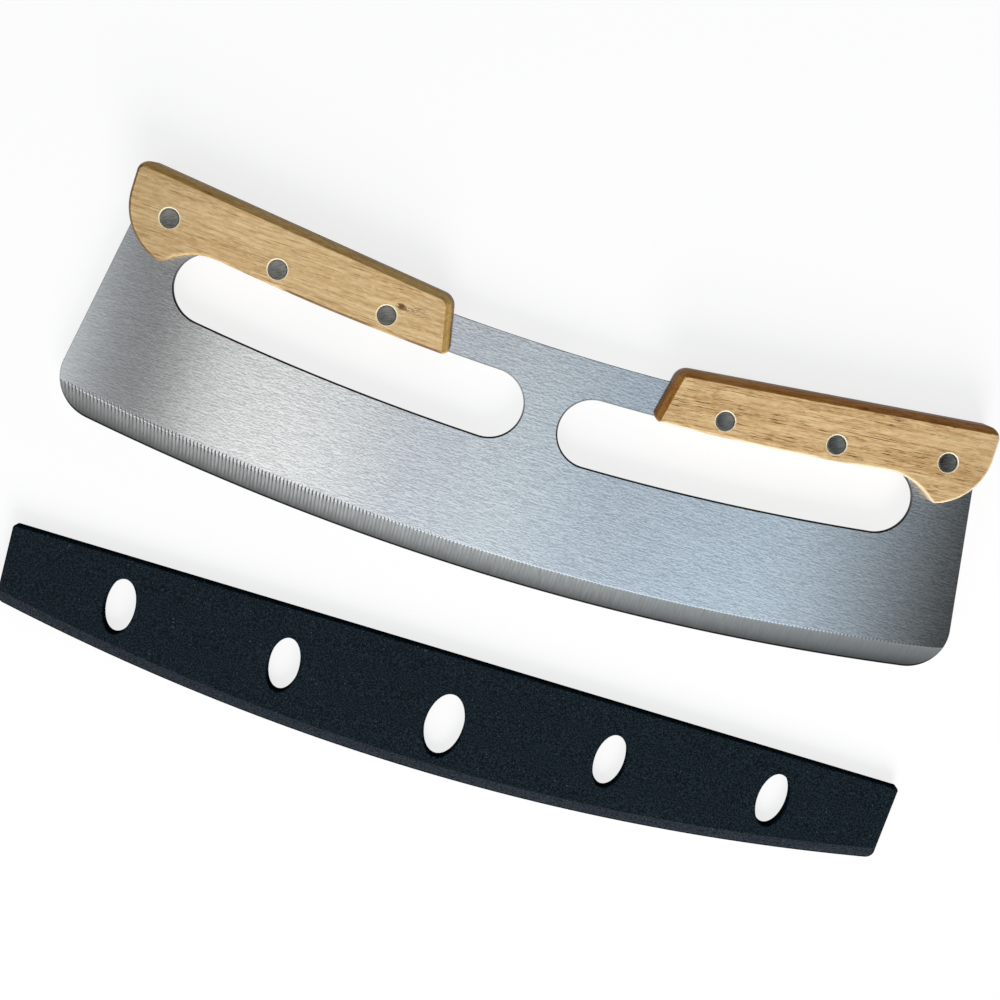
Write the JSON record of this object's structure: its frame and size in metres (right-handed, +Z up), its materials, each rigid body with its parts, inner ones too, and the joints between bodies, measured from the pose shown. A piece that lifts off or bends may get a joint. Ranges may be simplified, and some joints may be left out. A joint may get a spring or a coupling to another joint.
{
  "type": "rocker pizza cutter",
  "caption": "Curved steel rocker blade with riveted wooden handles over finger slots, and a slip-on plastic guard that covers the cutting edge.",
  "frame": {"origin": "middle of the box of the cutter and its guard, at table level", "axes": "+X along the blade to the right as pictured, +Y from the guard towards the handles, +Z up off the table"},
  "size_m": [0.361, 0.1968, 0.0187],
  "materials": {
    "brushed_blade": "brushed along the blade",
    "oiled_wood": "sanded and oiled, fine brown pores",
    "rivet_metal": "flat sanded heads",
    "black_plastic": "matt, finely spark-textured"
  },
  "bodies": {
    "cutter": {"blade": "brushed_blade", "left_front_scale": "oiled_wood", "left_back_scale": "oiled_wood", "right_front_scale": "oiled_wood", "right_back_scale": "oiled_wood", "left_inner_rivet_post": "rivet_metal", "left_inner_rivet_sleeve": "rivet_metal", "left_middle_rivet_post": "rivet_metal", "left_middle_rivet_sleeve": "rivet_metal", "left_outer_rivet_post": "rivet_metal", "left_outer_rivet_sleeve": "rivet_metal", "right_inner_rivet_post": "rivet_metal", "right_inner_rivet_sleeve": "rivet_metal", "right_middle_rivet_post": "rivet_metal", "right_middle_rivet_sleeve": "rivet_metal", "right_outer_rivet_post": "rivet_metal", "right_outer_rivet_sleeve": "rivet_metal"},
    "guard": {"blade_guard": "black_plastic"}
  },
  "joints": [
    {"name": "guard_slide", "type": "slide", "parent": "cutter", "child": "guard", "axis": [0, 0.9992, 0.0394], "range_m": [0, 0.0795]}
  ]
}
